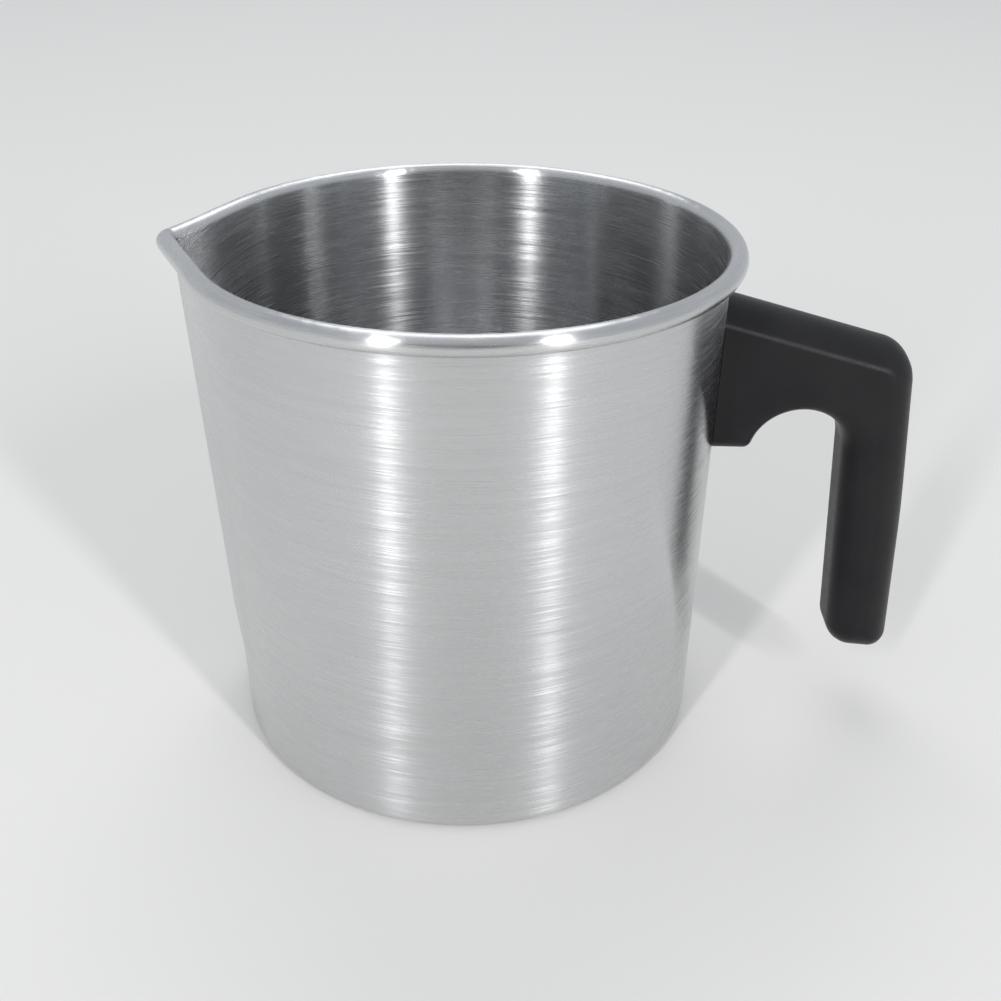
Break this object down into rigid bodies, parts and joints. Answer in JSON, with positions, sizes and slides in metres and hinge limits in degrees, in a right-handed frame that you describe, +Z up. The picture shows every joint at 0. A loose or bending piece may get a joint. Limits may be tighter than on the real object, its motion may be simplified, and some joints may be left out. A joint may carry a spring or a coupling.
{
  "type": "candle melting pot",
  "caption": "Drawn aluminium pot with a rolled rim, a pressed pouring spout and a moulded side handle, for melting and pouring wax.",
  "frame": {"origin": "centre of the pot's flat base, on the surface it stands on", "axes": "+Z up along the pot's axis, +X from the axis towards the handle, with the spout at -X"},
  "size_m": [0.1821, 0.1268, 0.126],
  "materials": {
    "spun_aluminium": "brushed round the axis, satin",
    "rivet_aluminium": "plain, as upset",
    "black_phenolic": "satin moulded",
    "zinc_plated_steel": "bright zinc plate"
  },
  "bodies": {
    "root": {"pot_body": "spun_aluminium", "handle_bracket": "zinc_plated_steel", "upper_rivet": "rivet_aluminium", "lower_rivet": "rivet_aluminium", "handle": "black_phenolic", "flat_washer": "zinc_plated_steel", "spring_washer": "zinc_plated_steel", "handle_screw": "zinc_plated_steel"}
  },
  "joints": []
}
